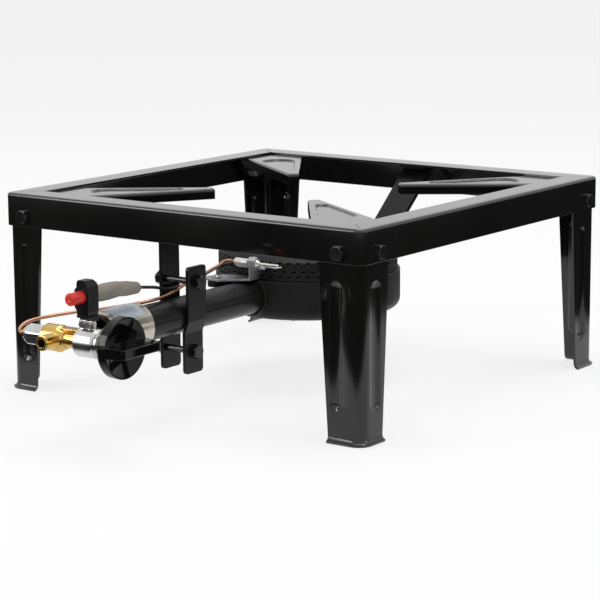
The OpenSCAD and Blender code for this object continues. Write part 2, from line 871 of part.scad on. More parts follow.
// Flat bar from under the rear rail down to the burner's lug
module rear_support_bar() {
    t = bar_t;
    top = flange_z - seat / 2;
    y0 = burner_r + 2.5;
    y1 = lug_y + 9;
    y2 = half - sheet_t - 3;
    foot = bar_foot_z + seat / 2;
    color("#202022") difference() {
        rotate([90, 0, 90]) translate([0, 0, -rear_bar_w / 2]) linear_extrude(rear_bar_w)
            polygon([[y0, foot], [y1, foot], [y2, top - t * 1.4], [y2, top],
                [half - flange_w + 4, top], [half - flange_w + 4, top - t],
                [y2 - t * 2.4, top - t], [y1 - t * 0.6, foot + t], [y0, foot + t]]);
        translate([0, lug_y, foot - 1]) cylinder(r = bar_bolt_r + seat, h = t + 2);
    }
}

module rear_bar_bolt() {
    color("#222224") translate([0, lug_y, bar_foot_z + bar_t + seat])
        hex_bolt(10, 4, 2 * bar_bolt_r, bar_t + 8 + nut_h + 2);
}

module rear_bar_nut() {
    color("#222224") translate([0, lug_y, bar_foot_z - 8 - nut_h - seat / 2])
        hex_nut(10, nut_h, 2 * bar_bolt_r);
}

// Gas valve

// Brass body: magnet chamber, inlet, neck round the tap plug and a flange for the bonnet
module valve_body() {
    flare_r = bonnet_r - 0.8;
    color("#c79a3e") translate([0, valve_y, axis_z]) difference() {
        union() {
            translate([valve_left, 0, 0]) rotate([0, 90, 0])
                cylinder(r1 = valve_r - 1, r2 = valve_r, h = 1.2);
            translate([valve_left + 1.2, 0, 0]) rod_x(valve_r, 15);
            translate([valve_left + 16.2, 0, 0]) rotate([0, 90, 0])
                cylinder(r1 = valve_r, r2 = neck_r + 1, h = neck_left - valve_left - 15);
            translate([neck_left, 0, 0]) rod_x(neck_r, bonnet_x - neck_left);
            translate([neck_right, 0, 0]) rotate([0, 90, 0])
                cylinder(r1 = neck_r, r2 = flare_r, h = bonnet_x - neck_right - seat / 2);
            // Raised gas way along the top of the neck
            translate([neck_left - 4, -5, 0]) cube([bonnet_x - neck_left + 2, 10, neck_r + 3]);
            // Inlet with a plain end and a shoulder
            translate([inlet_x, -inlet_len, 0]) rod_y(inlet_r - 0.5, inlet_len);
            translate([inlet_x, -inlet_len + 1.5, 0]) rod_y(inlet_r, 11.5);
            // Outlet seat for the jet
            rod_y(jet_seat_r, valve_r);
        }
        translate([valve_left - 1, 0, 0]) rod_x(magnet_r + 1.2, chamber_end - valve_left + 1);
        translate([chamber_end - 1, 0, 0]) rod_x(outlet_r, plug_left - chamber_end + 2);
        translate([plug_left, 0, 0]) rod_x(plug_r + run, bonnet_x - plug_left + 1);
        translate([inlet_x, -inlet_len - 1, 0]) rod_y(inlet_bore_r, inlet_len + 1);
        rod_y(outlet_r, valve_r + 1);
    }
}

// Bonnet over the plug, with an ear for the igniter's bracket
module valve_bonnet() {
    x = bonnet_x;
    l = bonnet_len;
    color("#b9bcbe") translate([0, valve_y, axis_z]) difference() {
        union() {
            translate([x, 0, 0]) rod_x(bonnet_r, l - 2);
            translate([x + l - 2, 0, 0]) rotate([0, 90, 0])
                cylinder(r1 = bonnet_r, r2 = bonnet_r - 2, h = 2);
            translate([x + l, 0, 0]) rod_x(spindle_r + 7, 2.4);
            translate([x + l, 0, 0]) rod_x(spindle_r + 5.4, knob_x - knob_travel - 0.8 - x - l);
            translate([x, -ear_t / 2 - 1.2, bonnet_r - 3]) cube([15, ear_t, ear_h + 3]);
        }
        translate([x - 1, 0, 0]) rod_x(bonnet_r - 3.5, l - bonnet_wall + 1);
        translate([x, 0, 0]) rod_x(spindle_r + 0.3, knob_x - x);
        for (i = [0, 1])
            translate([x + 4 + 7 * i, -ear_t - 2, bonnet_r + ear_h / 2]) rod_y(1.6, ear_t + 4);
    }
}

module bonnet_screws() {
    front = valve_y - ear_t / 2 - 1.2;
    color("#9a9a96") for (i = [0, 1])
        translate([bonnet_x + 4 + 7 * i, front, axis_z + bonnet_r + ear_h / 2]) {
            translate([0, -2.4 - seat / 2, 0]) rod_y(2.9, 2.4);
            translate([0, -1, 0]) rod_y(1.5, ear_t + bracket_t + 3);
        }
}

// Tap plug with its gas way, turned by the spindle
module tap_plug() {
    x = plug_left + seat;
    color("#c79a3e") translate([0, valve_y, axis_z]) difference() {
        union() {
            translate([x, 0, 0]) rod_x(plug_r, bonnet_x + seat - x);
            translate([bonnet_x + seat, 0, 0]) rod_x(plug_r + 2.6, plug_head_x - bonnet_x - seat);
        }
        translate([x - 1, 0, 0]) rod_x(2, 12);
        translate([4, 0, 0]) rod_x(spindle_r + run, 10);
        translate([0, 0, 0]) rod_x(1.4, 6);
        rod_y(1.6, plug_r + 1);
    }
}

// Spindle: slides in the plug, carries the knob and pushes the magnet
module knob_spindle() {
    x0 = 4 + knob_travel + 0.3;
    color("#a8a8a8") translate([0, valve_y, axis_z]) {
        translate([x0, 0, 0]) rod_x(spindle_r, knob_x + knob_base_t - x0);
        translate([spindle_collar_x, 0, 0]) rod_x(spindle_r + 3, 1.4);
        translate([-9, 0, 0]) rod_x(1.1, x0 + 10);
    }
}

module spindle_spring() {
    r = spindle_r + 1.3;
    color("#8c8c8c") translate([spring_start, valve_y, axis_z])
        coil(spring_end - spring_start, r, 0.5, 4);
}

// Knob: round base with a dished face and a straight grip across it
module control_knob() {
    r = knob_r;
    x1 = knob_x + knob_base_t;
    x2 = x1 + grip_h;
    dish = 4;
    dish_r = ((r - 1.5) * (r - 1.5) + dish * dish) / (2 * dish);
    h = grip_t / 2;
    color("#161616") translate([0, valve_y, axis_z]) difference() {
        union() {
            difference() {
                rotate([0, 90, 0]) rotate_extrude($fn = 96)
                    polygon(rounded([[0, knob_x], [r - 2, knob_x], [r, knob_x + 3], [r, x1],
                        [0, x1]], [0, 1, 2, 1, 0]));
                translate([x1 + dish_r - dish, 0, 0]) rotate([0, 90, 0])
                    rotate_extrude($fn = 96) intersection() {
                        circle(r = dish_r, $fn = 192);
                        translate([0, -dish_r - 1]) square([dish_r + 1, 2 * dish_r + 2]);
                    }
            }
            intersection() {
                translate([0, r, 0]) rotate([90, 0, 0]) linear_extrude(2 * r)
                    polygon(rounded([[knob_x + 3, -h], [x1, -h], [x2, -h + 0.8],
                        [x2, h - 0.8], [x1, h], [knob_x + 3, h]], [0, 0, 1.2, 1.2, 0, 0]));
                linear_extrude(through, center = true)
                    polygon(rounded([[knob_x + 2, -r + 0.3], [x1, -r + 0.3], [x2, -r + 3],
                        [x2, r - 3], [x1, r - 0.3], [knob_x + 2, r - 0.3]],
                        [0, 0, 2, 2, 0, 0]));
                translate([knob_x, 0, 0]) rod_x(r, through);
            }
        }
        translate([knob_x - 1, 0, 0]) rod_x(spindle_r + seat, knob_base_t + 1.2);
    }
}

// Safety magnet, held in the body by the union nut
module magnet_unit() {
    color("#8f8f8f") translate([0, valve_y, axis_z]) {
        translate([nut_left - 1, 0, 0]) rod_x(magnet_r, 36);
        translate([nut_left + 35 - eps, 0, 0]) rod_x(2.5, 3.4);
        translate([nut_left + 38, 0, 0]) rod_x(5, 1);
    }
}

module union_nut() {
    x = nut_left;
    l = nut_right - nut_left;
    af = nut_af;
    color("#c3c6c8") translate([0, valve_y, axis_z]) difference() {
        intersection() {
            translate([x, 0, 0]) rotate([0, 90, 0]) rotate([0, 0, 12]) hex(af, l);
            translate([x, 0, 0]) rotate([0, 90, 0]) cylinder(r1 = af * 0.46, r2 = af, h = l);
            translate([x, 0, 0]) rotate([0, 90, 0]) cylinder(r = af * 0.56, h = l);
        }
        translate([x - 1, 0, 0]) rod_x(magnet_r + seat, l + 2);
    }
}

module capillary_nut() {
    l = 4.6;
    x = nut_left - 1 - seat - l;
    color("#c79a3e") translate([0, valve_y, axis_z]) {
        difference() {
            union() {
                translate([x, 0, 0]) rotate([0, 90, 0]) hex(8, l);
                translate([x - 1, 0, 0]) rod_x(2.6, 1.5);
            }
            translate([x - 2, 0, 0]) rod_x(capillary_r + seat, capillary_start + seat - x + 2);
        }
    }
}

module capillary() {
    color("#b87350") swept(smooth_path(placed(capillary_route), 3), capillary_r, 10);
}

// Igniter

// Bracket: a tongue screwed to the bonnet's ear and a channel under the housing
module igniter_bracket() {
    x = button_x - 6;
    w = 14;
    back = valve_y + ear_t / 2 - 1.2 + seat / 2;
    low = axis_z + bonnet_r + 0.4;
    high = igniter_low - seat / 2;
    front = igniter_y + 0.6;
    deep = igniter_d - 1;
    t = bracket_t;
    color("#1c1c1e") difference() {
        union() {
            translate([x, back, low]) cube([w, t, high - low]);
            translate([x, front, high - t]) cube([w, deep, t]);
            for (side = [0, w - t]) translate([x + side, back, low + 5])
                cube([t, front + deep - back, high - low - 5]);
        }
        for (i = [0, 1])
            translate([bonnet_x + 4 + 7 * i, back - 1, axis_z + bonnet_r + ear_h / 2])
                rod_y(1.6, t + 2);
    }
}

// Housing outline seen from the front, moulded along Y
module igniter_housing() {
    w = igniter_w / 2;
    z = button_z;
    top = z + 14;
    low = igniter_low;
    outline = [[-w + 2.5, low], [w - 0.8, low], [w, low + 4], [w, z + 8], [w - 3, top],
        [-w + 4, top], [-w + 2.5, top - 3], [-w + 2.5, z + 8], [-w, z + 5], [-w, z - 9],
        [-w + 2.5, z - 12]];
    color("#161616") difference() {
        translate([button_x, igniter_back, 0]) rotate([90, 0, 0]) linear_extrude(igniter_d)
            polygon(rounded(outline, [0.5, 0.5, 1, 1.5, 1.5, 1.5, 1.2, 1, 1.5, 1.5, 1.5], 4));
        translate([button_x, igniter_y - 1, button_z]) rod_y(bore_r, igniter_d + 2);
        // Slanted top edge at the back
        translate([button_x - 20, igniter_back - 3, top]) rotate([-45, 0, 0]) cube([40, 9, 9]);
    }
}

module igniter_button() {
    r = button_r;
    front = igniter_y - button_out;
    l = button_rear - front;
    color("#d8221c") translate([button_x, front, button_z]) difference() {
        union() {
            rotate([-90, 0, 0]) cylinder(r1 = r - 1.2, r2 = r, h = 1.2);
            translate([0, 1.2 - eps, 0]) rod_y(r, l - 1.2);
        }
        translate([0, l - cup_depth, 0]) rod_y(r - 1.4, cup_depth + 1);
        translate([0, -1.4, 0]) rotate([-90, 0, 0]) cylinder(r1 = r, r2 = 0.5, h = 2);
    }
}

module igniter_spring() {
    from = button_rear - cup_depth + seat;
    color("#8c8c8c") translate([button_x, from, button_z]) rotate([0, 0, 90])
        coil(piezo_y - seat - from, button_r - 2.4, 0.4, 7);
}

module piezo_element() {
    color("#303030") translate([button_x, piezo_y, button_z]) rod_y(button_r, piezo_len);
}

// Silicone boot over the piezo element, drooping towards the lead
module lead_boot() {
    l = boot_straight;
    tail = boot_len - boot_straight;
    a = boot_droop;
    color("#857f76") translate([button_x, igniter_back + seat, button_z]) {
        difference() {
            rotate([-90, 0, 0]) rotate_extrude() polygon(rounded([[0, 0], [boot_r + 0.5, 0],
                [boot_r + 0.5, 3], [boot_r - 0.3, 5], [boot_r + 0.1, l * 0.55],
                [boot_r - 0.8, l], [0, l]], [0, 0.6, 1, 2, 10, 2, 0]));
            translate([0, -1, 0]) rod_y(button_r + seat, piezo_len - 3 + seat);
        }
        translate([0, l - 4, 0]) rotate([-90 - a, 0, 0]) difference() {
            rotate_extrude() polygon(rounded([[0, 0], [boot_r - 1, 0], [boot_r - 0.9, tail * 0.5],
                [boot_end_r, tail + 1], [boot_end_r - 1.6, tail + 3.4], [0, tail + 3.4]],
                [0, 0.5, 8, 2, 0.6, 0]));
            translate([0, 0, tail - 5]) cylinder(r = lead_r + 0.5, h = 10);
        }
    }
}

module ht_lead() {
    color("#151515") swept(smooth_path(placed(lead_route), 4), lead_r, 8);
}

// Sensor and electrode

// Plate on the burner's ear with an upright tab that holds both probes
module electrode_bracket() {
    e = ear_pos;
    edge = -(burner_r + 2.5);
    color("#8d9096") difference() {
        union() {
            translate([0, 0, plate_z]) linear_extrude(plate_t)
                polygon(rounded([[e[0] - 14, e[1] - 1], [e[0] - 5, e[1] - 10],
                    [e[0] + 12, e[1] - 10], [tab_x + tab_t, edge - 12], [tab_x + tab_t, edge],
                    [e[0], edge - 2]], [3, 3, 5, 0, 0, 5]));
            translate([tab_x, 0, plate_z]) rotate([90, 0, 90]) linear_extrude(tab_t)
                polygon(rounded([[edge - 14, 0], [edge, 0], [edge + 2.2, 8], [edge + 2.2, 14],
                    [sensor_y + 3, sensor_z - plate_z + 6], [sensor_y - 5, sensor_z - plate_z + 4]],
                    [0, 0, 2, 2.5, 3, 3]));
        }
        translate([e[0], e[1], plate_z - 1]) cylinder(r = 1.6, h = plate_t + 2);
        translate([tab_x - 1, sensor_y, sensor_z]) rod_x(sensor_r + seat, tab_t + 2);
        translate([tab_x - 1, electrode_y, electrode_z]) rod_x(ceramic_r + seat, tab_t + 2);
    }
}

module bracket_screw() {
    z = plate_z + plate_t + seat / 2;
    color("#9a9a96") translate([ear_pos[0], ear_pos[1], z]) {
        difference() {
            intersection() {
                cylinder(r = 4.2, h = 2.6);
                translate([0, 0, -3.4]) sphere(r = 6);
            }
            translate([-5, -0.5, 1.4]) cube([10, 1, 3]);
        }
        translate([0, 0, -9]) cylinder(r = 1.5, h = 9 + eps);
    }
}

module electrode_ceramic() {
    l = ceramic_right - ceramic_left;
    color("#e8e4da") translate([ceramic_left, electrode_y, electrode_z]) difference() {
        rod_x(ceramic_r, l);
        translate([-1, 0, 0]) rod_x(0.8 + seat, l + 2);
    }
}

// Steel rod through the ceramic, its tip bent towards the cap
module electrode_rod() {
    tip_x = ceramic_right + 12;
    r = 0.8;
    color("#9a9a9a") translate([0, electrode_y, electrode_z]) {
        translate([ceramic_left + 1, 0, 0]) rod_x(r, tip_x - ceramic_left - 1);
        translate([tip_x, 0, 0]) sphere(r = r);
        translate([tip_x, 0, 0]) rotate([-90, 0, -20]) cylinder(r = r, h = 7);
    }
}

// Spring clip that keeps the ceramic in the tab
module electrode_clip() {
    color("#a8a8a8") translate([tab_x + tab_t + seat, electrode_y, electrode_z]) difference() {
        rod_x(ceramic_r + 0.5, 2);
        translate([-1, 0, 0]) rod_x(ceramic_r + seat, 4);
    }
}

// Thermocouple head with its bare tip
module thermocouple() {
    color("#d6d3cb") translate([0, sensor_y, sensor_z]) {
        translate([sensor_left + seat, 0, 0]) rod_x(sensor_r, 24);
        translate([sensor_left + 24, 0, 0]) rotate([0, 90, 0])
            cylinder(r1 = sensor_r, r2 = 1.4, h = 3);
        translate([sensor_left + 26.9, 0, 0]) rod_x(1.3, 20);
        translate([sensor_left + 46.9, 0, 0]) sphere(r = 1.3);
    }
}

module thermocouple_nut() {
    thin = 2.4;
    for (x = [tab_x - thin - seat / 2, tab_x + tab_t + seat / 2])
        color("#b5b2a8") translate([x, sensor_y, sensor_z]) rotate([0, 90, 0])
            hex_nut(2 * sensor_r + 3, x < tab_x ? thin : 4, 2 * sensor_r);
}

front_rail();
right_rail();
rear_rail();
left_rail();
leg_front_left();
leg_front_right();
leg_rear_left();
leg_rear_right();
leg_bolts();
leg_nuts();
pot_support_front_left();
pot_support_front_right();
pot_support_rear_left();
pot_support_rear_right();
burner_base();
burner_cap();
burner_screws();
mixing_tube();
air_sleeve();
sleeve_screw();
rating_label();
injector();
clamp_strap_left();
clamp_strap_right();
clamp_bolts();
clamp_nuts();
rear_support_bar();
rear_bar_bolt();
rear_bar_nut();
valve_body();
valve_bonnet();
bonnet_screws();
tap_plug();
knob_spindle();
spindle_spring();
control_knob();
magnet_unit();
union_nut();
capillary_nut();
capillary();
igniter_bracket();
igniter_housing();
igniter_button();
igniter_spring();
piezo_element();
lead_boot();
ht_lead();
electrode_bracket();
bracket_screw();
electrode_ceramic();
electrode_rod();
electrode_clip();
thermocouple();
thermocouple_nut();
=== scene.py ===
import math

import bmesh
import bpy
from mathutils import Matrix, Vector


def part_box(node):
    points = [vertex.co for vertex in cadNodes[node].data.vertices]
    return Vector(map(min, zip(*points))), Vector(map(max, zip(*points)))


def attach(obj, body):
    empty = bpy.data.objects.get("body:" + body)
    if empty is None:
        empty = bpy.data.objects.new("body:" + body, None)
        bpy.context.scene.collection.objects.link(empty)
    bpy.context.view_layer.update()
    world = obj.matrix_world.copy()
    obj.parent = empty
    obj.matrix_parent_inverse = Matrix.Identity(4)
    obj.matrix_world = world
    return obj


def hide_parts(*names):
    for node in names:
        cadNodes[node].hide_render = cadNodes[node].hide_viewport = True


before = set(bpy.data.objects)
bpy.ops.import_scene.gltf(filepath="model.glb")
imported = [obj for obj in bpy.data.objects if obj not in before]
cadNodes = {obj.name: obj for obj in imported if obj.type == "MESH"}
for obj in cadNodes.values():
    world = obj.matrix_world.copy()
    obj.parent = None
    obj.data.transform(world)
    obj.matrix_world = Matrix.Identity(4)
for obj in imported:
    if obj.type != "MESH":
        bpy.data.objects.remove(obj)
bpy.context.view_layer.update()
scene = bpy.context.scene
print("frame loaded:", len(cadNodes), "nodes")


# Camera at the photograph's viewpoint: metres, degrees, and millimetres for the lens
cameraView = {
    "place": (1.20693, -1.66351, 0.46868),
    "azimuth": 36.180,
    "elevation": 10.899,
    "roll": -0.377,
    "lens": 132.45,
    "sensor": 36.0,
}


def makeCamera(view):
    data = bpy.data.cameras.new("photoCamera")
    data.lens = view["lens"]
    data.sensor_width = view["sensor"]
    data.sensor_fit = "HORIZONTAL"
    data.clip_start = 0.05
    data.clip_end = 60.0
    camera = bpy.data.objects.new("photoCamera", data)
    turn = (
        Matrix.Rotation(math.radians(view["azimuth"]), 4, "Z")
        @ Matrix.Rotation(math.radians(90.0 - view["elevation"]), 4, "X")
        @ Matrix.Rotation(math.radians(view["roll"]), 4, "Z")
    )
    camera.matrix_world = Matrix.Translation(view["place"]) @ turn
    scene.collection.objects.link(camera)
    scene.camera = camera


makeCamera(cameraView)
scene.view_settings.view_transform = "Standard"
print("camera placed")


# Helpers that keep the node trees short
def addNode(tree, kind, inputs=None, **settings):
    node = tree.nodes.new(kind)
    for name, value in settings.items():
        setattr(node, name, value)
    for name, value in (inputs or {}).items():
        node.inputs[name].default_value = value
    return node


def newGroup(name, inputs, outputs):
    group = bpy.data.node_groups.new(name, "ShaderNodeTree")
    for label, value in inputs.items():
        kind = "NodeSocketColor" if isinstance(value, tuple) else "NodeSocketFloat"
        socket = group.interface.new_socket(label, in_out="INPUT", socket_type=kind)
        socket.default_value = value
    for label, kind in outputs.items():
        group.interface.new_socket(label, in_out="OUTPUT", socket_type=kind)
    return group, group.nodes.new("NodeGroupInput"), group.nodes.new("NodeGroupOutput")


def makeGrainGroup():
    # Two sizes of noise: one for a height, one slow one for patches
    group, start, end = newGroup(
        "surfaceGrain",
        {"Scale": 900.0, "Patch Scale": 18.0},
        {"Height": "NodeSocketFloat", "Patches": "NodeSocketFloat"},
    )
    where = addNode(group, "ShaderNodeTexCoord")
    fine = addNode(group, "ShaderNodeTexNoise", {"Detail": 4.0, "Roughness": 0.55})
    slow = addNode(group, "ShaderNodeTexNoise", {"Detail": 3.0, "Roughness": 0.5})
    group.links.new(where.outputs["Object"], fine.inputs["Vector"])
    group.links.new(where.outputs["Object"], slow.inputs["Vector"])
    group.links.new(start.outputs["Scale"], fine.inputs["Scale"])
    group.links.new(start.outputs["Patch Scale"], slow.inputs["Scale"])
    group.links.new(fine.outputs["Fac"], end.inputs["Height"])
    spread = addNode(group, "ShaderNodeMapRange", {"From Min": 0.3, "From Max": 0.7})
    group.links.new(slow.outputs["Fac"], spread.inputs["Value"])
    group.links.new(spread.outputs["Result"], end.inputs["Patches"])
    return group


def makeEdgeGroup():
    # Rounded normal at edges, and a mask that is 1 on them; the mask paints the edges' lighter
    # colour, partly wear and partly a painted highlight
    group, start, end = newGroup(
        "softEdges",
        {"Radius": 0.0006, "Gain": 6.0},
        {"Normal": "NodeSocketVector", "Mask": "NodeSocketFloat"},
    )
    rounded = addNode(group, "ShaderNodeBevel", samples=6)
    plain = addNode(group, "ShaderNodeNewGeometry")
    dot = addNode(group, "ShaderNodeVectorMath", operation="DOT_PRODUCT")
    less = addNode(group, "ShaderNodeMath", {0: 1.0}, operation="SUBTRACT")
    gain = addNode(group, "ShaderNodeMath", operation="MULTIPLY", use_clamp=True)
    group.links.new(start.outputs["Radius"], rounded.inputs["Radius"])
    group.links.new(rounded.outputs["Normal"], dot.inputs[0])
    group.links.new(plain.outputs["True Normal"], dot.inputs[1])
    group.links.new(dot.outputs["Value"], less.inputs[1])
    group.links.new(less.outputs[0], gain.inputs[0])
    group.links.new(start.outputs["Gain"], gain.inputs[1])
    group.links.new(rounded.outputs["Normal"], end.inputs["Normal"])
    group.links.new(gain.outputs[0], end.inputs["Mask"])
    return group


def makeDustGroup():
    # Fine dust that lies on what faces up
    group, start, end = newGroup(
        "restingDust",
        {"Scale": 260.0, "Amount": 0.5},
        {"Mask": "NodeSocketFloat"},
    )
    where = addNode(group, "ShaderNodeTexCoord")
    facing = addNode(group, "ShaderNodeNewGeometry")
    split = addNode(group, "ShaderNodeSeparateXYZ")
    speck = addNode(group, "ShaderNodeTexNoise", {"Detail": 6.0, "Roughness": 0.7})
    sharp = addNode(group, "ShaderNodeMapRange", {"From Min": 0.5, "From Max": 0.8})
    up = addNode(group, "ShaderNodeMapRange", {"From Min": 0.3, "From Max": 1.0})
    both = addNode(group, "ShaderNodeMath", operation="MULTIPLY")
    amount = addNode(group, "ShaderNodeMath", operation="MULTIPLY", use_clamp=True)
    group.links.new(where.outputs["Object"], speck.inputs["Vector"])
    group.links.new(start.outputs["Scale"], speck.inputs["Scale"])
    group.links.new(speck.outputs["Fac"], sharp.inputs["Value"])
    group.links.new(facing.outputs["Normal"], split.inputs["Vector"])
    group.links.new(split.outputs["Z"], up.inputs["Value"])
    group.links.new(sharp.outputs["Result"], both.inputs[0])
    group.links.new(up.outputs["Result"], both.inputs[1])
    group.links.new(both.outputs[0], amount.inputs[0])
    group.links.new(start.outputs["Amount"], amount.inputs[1])
    group.links.new(amount.outputs[0], end.inputs["Mask"])
    return group


grainGroup = makeGrainGroup()
edgeGroup = makeEdgeGroup()
dustGroup = makeDustGroup()


def useGroup(tree, group, **values):
    node = tree.nodes.new("ShaderNodeGroup")
    node.node_tree = group
    for name, value in values.items():
        node.inputs[name.replace("_", " ")].default_value = value
    return node


def mixColors(tree, factor, dark, light):
    mix = addNode(tree, "ShaderNodeMix", data_type="RGBA")
    mix.inputs["A"].default_value = (*dark, 1.0)
    mix.inputs["B"].default_value = (*light, 1.0)
    tree.links.new(factor, mix.inputs["Factor"])
    return mix.outputs["Result"]


def spreadValue(tree, factor, low, high):
    node = addNode(tree, "ShaderNodeMapRange", {"To Min": low, "To Max": high})
    tree.links.new(factor, node.inputs["Value"])
    return node.outputs["Result"]


# What each finish is: two shades, a range of roughness, scales of fine grain and patches, strength
# and height of the bump, and radius and colour of the edges, lighter partly as wear and partly as a
# painted highlight
dustShade = (0.12, 0.115, 0.105)
finishes = {
    "blackEnamel": {
        "shades": ((0.0022, 0.0022, 0.0023), (0.0045, 0.0044, 0.004)),
        "roughness": (0.07, 0.15),
        "specular": 0.55,
        "grain": (420.0, 9.0),
        "bump": (0.05, 0.00025),
        "edge": (0.0007, (0.02, 0.02, 0.02)),
        "dust": 0.12,
    },
    "satinEnamel": {
        "shades": ((0.0032, 0.0032, 0.0033), (0.007, 0.0069, 0.0064)),
        "roughness": (0.2, 0.34),
        "specular": 0.2,
        "grain": (620.0, 14.0),
        "bump": (0.1, 0.0003),
        "edge": (0.0006, (0.028, 0.027, 0.026)),
        "dust": 0.18,
    },
    "castIron": {
        "shades": ((0.0045, 0.0045, 0.0046), (0.012, 0.0117, 0.011)),
        "roughness": (0.34, 0.52),
        "specular": 0.25,
        "grain": (700.0, 22.0),
        "bump": (0.45, 0.0005),
        "edge": (0.0009, (0.04, 0.039, 0.036)),
        "dust": 0.3,
    },
    "blackBolts": {
        "shades": ((0.004, 0.004, 0.004), (0.009, 0.009, 0.0085)),
        "roughness": (0.16, 0.28),
        "specular": 0.4,
        "grain": (800.0, 40.0),
        "bump": (0.08, 0.0002),
        "edge": (0.0005, (0.06, 0.06, 0.058)),
        "dust": 0.2,
    },
    "nickelSleeve": {
        "shades": ((0.47, 0.43, 0.37), (0.58, 0.55, 0.49)),
        "roughness": (0.22, 0.34),
        "metal": 1.0,
        "grain": (500.0, 30.0),
        "bump": (0.05, 0.0002),
        "edge": (0.0003, (0.75, 0.73, 0.68)),
    },
    "platedZinc": {
        "shades": ((0.5, 0.5, 0.5), (0.66, 0.66, 0.65)),
        "roughness": (0.16, 0.28),
        "metal": 1.0,
        "grain": (700.0, 60.0),
        "bump": (0.06, 0.0002),
        "edge": (0.0005, (0.85, 0.85, 0.84)),
    },
    "steel": {
        "shades": ((0.32, 0.31, 0.3), (0.45, 0.44, 0.42)),
        "roughness": (0.25, 0.4),
        "metal": 1.0,
        "grain": (900.0, 80.0),
        "bump": (0.08, 0.0002),
        "edge": (0.0003, (0.6, 0.6, 0.58)),
    },
    # Plated zinc with painted shade: a darker copy of platedZinc, worn by the electrode bracket and
    # the thermocouple nut
    "paintedShadeZinc": {
        "shades": ((0.3, 0.31, 0.33), (0.42, 0.43, 0.45)),
        "roughness": (0.28, 0.42),
        "metal": 1.0,
        "grain": (600.0, 50.0),
        "bump": (0.08, 0.0002),
        "edge": (0.0003, (0.6, 0.6, 0.6)),
    },
    "sensorSteel": {
        "shades": ((0.55, 0.53, 0.5), (0.68, 0.66, 0.62)),
        "roughness": (0.25, 0.38),
        "metal": 0.85,
        "grain": (700.0, 60.0),
        "bump": (0.06, 0.0002),
        "edge": (0.0003, (0.8, 0.79, 0.76)),
    },
    "brass": {
        "shades": ((0.5, 0.31, 0.085), (0.64, 0.43, 0.14)),
        "roughness": (0.13, 0.26),
        "metal": 1.0,
        "grain": (600.0, 70.0),
        "bump": (0.08, 0.00025),
        "edge": (0.0006, (0.85, 0.66, 0.3)),
    },
    "copper": {
        "shades": ((0.28, 0.13, 0.075), (0.45, 0.24, 0.15)),
        "roughness": (0.25, 0.42),
        "metal": 1.0,
        "grain": (500.0, 45.0),
        "bump": (0.08, 0.0002),
        "edge": (0.0003, (0.6, 0.36, 0.24)),
    },
    "knobPlastic": {
        "shades": ((0.0025, 0.0025, 0.0026), (0.004, 0.004, 0.004)),
        "roughness": (0.04, 0.09),
        "specular": 0.22,
        "grain": (300.0, 20.0),
        "bump": (0.02, 0.0002),
        "edge": (0.0007, (0.02, 0.02, 0.02)),
        "dust": 0.15,
    },
    "blackPlastic": {
        "shades": ((0.0035, 0.0035, 0.0035), (0.0065, 0.0065, 0.0065)),
        "roughness": (0.22, 0.36),
        "specular": 0.2,
        "grain": (900.0, 50.0),
        "bump": (0.08, 0.0002),
        "edge": (0.0006, (0.03, 0.03, 0.03)),
    },
    "redPlastic": {
        "shades": ((0.5, 0.012, 0.012), (0.66, 0.03, 0.02)),
        "roughness": (0.22, 0.34),
        "grain": (500.0, 90.0),
        "bump": (0.05, 0.0002),
        "edge": (0.0005, (0.75, 0.12, 0.08)),
    },
    "bootRubber": {
        "shades": ((0.16, 0.14, 0.12), (0.24, 0.215, 0.18)),
        "roughness": (0.5, 0.7),
        "grain": (900.0, 35.0),
        "bump": (0.15, 0.0003),
        "edge": (0.0006, (0.3, 0.28, 0.24)),
    },
    "leadRubber": {
        "shades": ((0.0035, 0.0035, 0.0035), (0.007, 0.007, 0.007)),
        "roughness": (0.3, 0.42),
        "specular": 0.25,
        "grain": (900.0, 60.0),
        "bump": (0.06, 0.0002),
        "edge": (0.0003, (0.02, 0.02, 0.02)),
    },
    "labelPaper": {
        "shades": ((0.38, 0.43, 0.49), (0.46, 0.51, 0.57)),
        "roughness": (0.3, 0.45),
        "grain": (1400.0, 70.0),
        "bump": (0.08, 0.0001),
        "edge": (0.0002, (0.6, 0.64, 0.68)),
    },
    "ceramic": {
        "shades": ((0.7, 0.67, 0.6), (0.82, 0.8, 0.74)),
        "roughness": (0.14, 0.24),
        "grain": (700.0, 80.0),
        "bump": (0.05, 0.0002),
        "edge": (0.0003, (0.85, 0.83, 0.78)),
    },
}

wornBy = {
    "blackEnamel": [
        "front_rail", "right_rail", "rear_rail", "left_rail", "leg_front_left",
        "leg_front_right", "leg_rear_left", "leg_rear_right", "pot_support_front_left",
        "pot_support_front_right", "pot_support_rear_left", "pot_support_rear_right",
    ],
    "satinEnamel": [
        "mixing_tube", "clamp_strap_left", "clamp_strap_right", "rear_support_bar",
        "igniter_bracket",
    ],
    "castIron": ["burner_base", "burner_cap"],
    "blackBolts": [
        "leg_bolts", "clamp_bolts", "clamp_nuts", "rear_bar_bolt", "rear_bar_nut",
        "sleeve_screw",
    ],
    "nickelSleeve": ["air_sleeve"],
    "platedZinc": ["valve_bonnet", "union_nut"],
    "steel": [
        "leg_nuts", "burner_screws", "bonnet_screws", "knob_spindle", "spindle_spring",
        "magnet_unit", "igniter_spring", "bracket_screw", "electrode_rod",
        "electrode_clip",
    ],
    "paintedShadeZinc": ["electrode_bracket", "thermocouple_nut"],
    "sensorSteel": ["thermocouple"],
    "brass": ["valve_body", "injector", "tap_plug", "capillary_nut"],
    "copper": ["capillary"],
    "knobPlastic": ["control_knob"],
    "blackPlastic": ["igniter_housing", "piezo_element"],
    "redPlastic": ["igniter_button"],
    "bootRubber": ["lead_boot"],
    "leadRubber": ["ht_lead"],
    "labelPaper": ["rating_label"],
    "ceramic": ["electrode_ceramic"],
}


